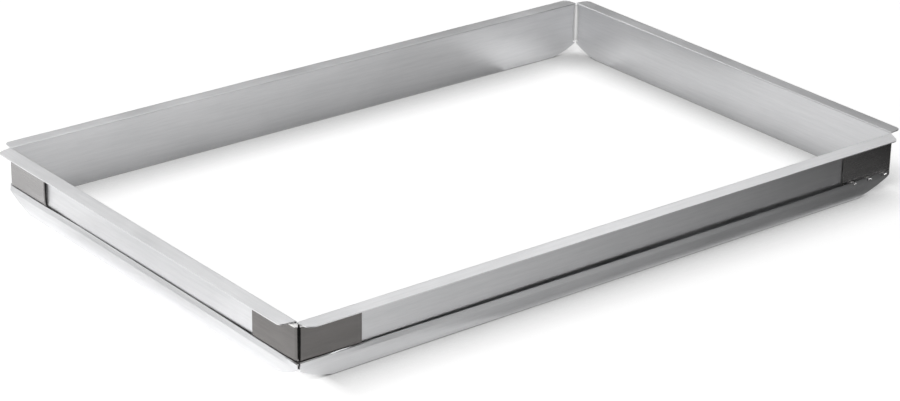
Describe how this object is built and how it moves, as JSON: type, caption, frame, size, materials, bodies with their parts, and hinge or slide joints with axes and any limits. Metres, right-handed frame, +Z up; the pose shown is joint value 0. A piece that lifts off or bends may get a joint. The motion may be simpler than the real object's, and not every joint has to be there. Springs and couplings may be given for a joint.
{
  "type": "baking sheet extender",
  "caption": "Bottomless rectangular frame of folded sheet metal that stands in a full-size sheet pan and raises its sides, with a flange around the top and brackets at the corners.",
  "frame": {"origin": "centre of the frame's plan, at the height of the surface it stands on", "axes": "+X along the long side to the right, +Y across to the back rail, +Z up"},
  "size_m": [0.6578, 0.4486, 0.0508],
  "materials": {
    "aluminium_sheet": "plain rolled sheet, satin",
    "stainless_sheet": "dark satin, rolled sheet"
  },
  "bodies": {
    "root": {"front_rail": "aluminium_sheet", "back_rail": "aluminium_sheet", "left_rail": "aluminium_sheet", "right_rail": "aluminium_sheet", "front_left_corner_bracket": "stainless_sheet", "front_right_corner_bracket": "stainless_sheet", "back_left_corner_bracket": "stainless_sheet", "back_right_corner_bracket": "stainless_sheet"}
  },
  "joints": []
}
